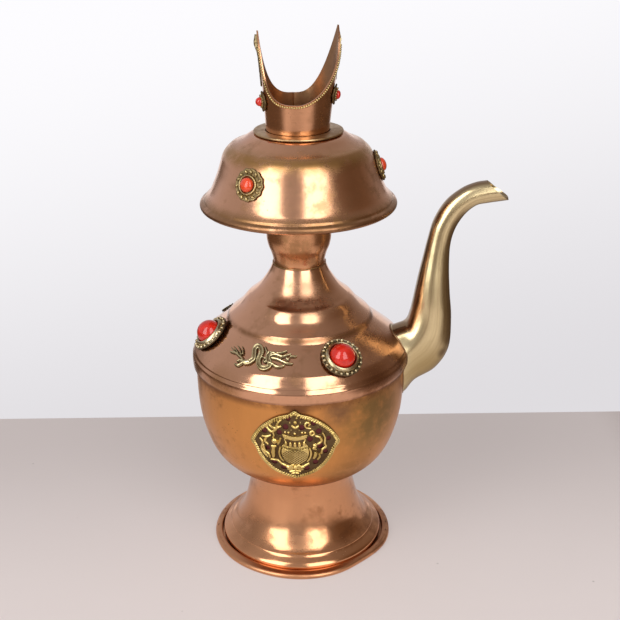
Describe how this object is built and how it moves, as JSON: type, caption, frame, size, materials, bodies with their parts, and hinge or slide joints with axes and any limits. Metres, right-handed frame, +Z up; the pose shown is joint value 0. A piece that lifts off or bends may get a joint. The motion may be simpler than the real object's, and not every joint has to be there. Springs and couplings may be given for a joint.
{
  "type": "ritual vase with spout",
  "caption": "Spun copper ritual water vase with a brass spout, a parasol collar, coral-set ornaments and a crescent crown that lifts out of the neck.",
  "frame": {"origin": "centre of the base plate's underside, on the vase's axis", "axes": "+Z up along the vase's axis, +X towards the spout, -Y towards the side with the plaque"},
  "size_m": [0.1747, 0.1224, 0.3],
  "materials": {
    "copper": "spun copper, polished, with light brown tarnish",
    "bowl_copper": "spun copper, highly polished",
    "brass": "cast and stamped brass, dark patina in the recesses",
    "gilt_brass": "pierced and chased brass, rubbed bright on the relief",
    "coral": "polished coral-red cabochon"
  },
  "bodies": {
    "vase": {"base_plate": "copper", "foot": "copper", "bowl": "bowl_copper", "shoulder": "copper", "neck": "copper", "collar": "copper", "spout": "brass", "shoulder_setting_1": "brass", "shoulder_setting_2": "brass", "shoulder_setting_3": "brass", "shoulder_coral_1": "coral", "shoulder_coral_2": "coral", "shoulder_coral_3": "coral", "collar_setting_1": "brass", "collar_setting_2": "brass", "collar_setting_3": "brass", "collar_coral_1": "coral", "collar_coral_2": "coral", "collar_coral_3": "coral", "dragon_front": "brass", "dragon_back": "brass", "plaque": "gilt_brass"},
    "crown": {"crown_tube": "copper", "crown_flange": "brass", "crown_wire": "brass", "horn_leaf_left": "brass", "horn_leaf_right": "brass", "crown_setting_left": "brass", "crown_setting_right": "brass", "crown_coral_left": "coral", "crown_coral_right": "coral"}
  },
  "joints": [
    {"name": "crown_lift", "type": "slide", "parent": "vase", "child": "crown", "axis": [0, 0, 1], "range_m": [0, 0.04]}
  ]
}
